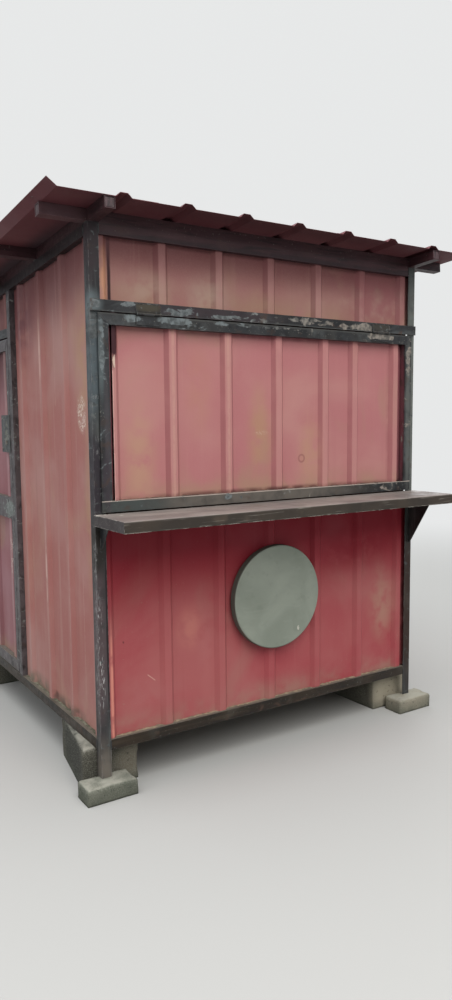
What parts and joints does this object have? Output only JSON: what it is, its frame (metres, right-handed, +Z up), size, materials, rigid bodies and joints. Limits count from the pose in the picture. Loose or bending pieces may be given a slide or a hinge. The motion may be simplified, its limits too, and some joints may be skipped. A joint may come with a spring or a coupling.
{
  "type": "street kiosk",
  "caption": "Steel sales cabin on concrete blocks, with a top-hung serving hatch over a counter, a side door and a single-pitch ribbed roof.",
  "frame": {"origin": "on the ground, in the middle of the plan that the counter, the cabin and the eaves cover", "axes": "+Z up, front with the hatch and counter toward -Y, side door on the -X side"},
  "size_m": [2.016, 2, 2.1459],
  "materials": {
    "frame_paint": "worn black enamel, chipped at the edges",
    "wall_paint": "faded red oxide coating, chalky and dusty",
    "roof_paint": "dull maroon coating with dust",
    "counter_steel": "bare worn steel with dust",
    "disc_paint": "matt grey-green paint",
    "floor_board": "worn plywood",
    "concrete": "rough weathered concrete"
  },
  "bodies": {
    "cabin": {"corner_post_front_left": "frame_paint", "corner_post_front_right": "frame_paint", "corner_post_rear_left": "frame_paint", "corner_post_rear_right": "frame_paint", "door_post": "frame_paint", "bottom_rail_front": "frame_paint", "bottom_rail_rear": "frame_paint", "bottom_rail_left": "frame_paint", "bottom_rail_right": "frame_paint", "top_rail_front": "frame_paint", "top_rail_rear": "frame_paint", "top_rail_left": "frame_paint", "top_rail_right": "frame_paint", "hatch_header": "frame_paint", "hatch_sill": "frame_paint", "door_lintel": "frame_paint", "floor_joists": "frame_paint", "floor_panel": "floor_board", "front_lower_sheet": "wall_paint", "front_upper_sheet": "wall_paint", "left_wall_sheet": "wall_paint", "over_door_sheet": "wall_paint", "right_wall_sheet": "wall_paint", "rear_wall_sheet": "wall_paint", "roof_rafter_left": "frame_paint", "roof_rafter_right": "frame_paint", "roof_purlins": "frame_paint", "roof_sheet_left": "roof_paint", "roof_sheet_middle": "roof_paint", "roof_sheet_right": "roof_paint", "counter_shelf": "counter_steel", "counter_gussets": "frame_paint", "sign_disc": "disc_paint", "footing_front_left": "concrete", "footing_front_right": "concrete", "footing_rear_left": "concrete", "footing_rear_right": "concrete", "hatch_hinges": "frame_paint", "door_hinges": "frame_paint"},
    "hatch_flap": {"hatch_frame": "frame_paint", "hatch_sheet": "wall_paint"},
    "side_door": {"door_frame": "frame_paint", "door_sheet": "wall_paint", "door_lock": "frame_paint"}
  },
  "joints": [
    {"name": "hatch_hinge", "type": "hinge", "parent": "cabin", "child": "hatch_flap", "pos_m": [-0.012, -0.7655, 1.7625], "axis": [-1, 0, 0], "range_deg": [0, 90]},
    {"name": "door_hinge", "type": "hinge", "parent": "cabin", "child": "side_door", "pos_m": [-0.8175, 0.807, 0.985], "axis": [0, 0, -1], "range_deg": [0, 170]}
  ]
}
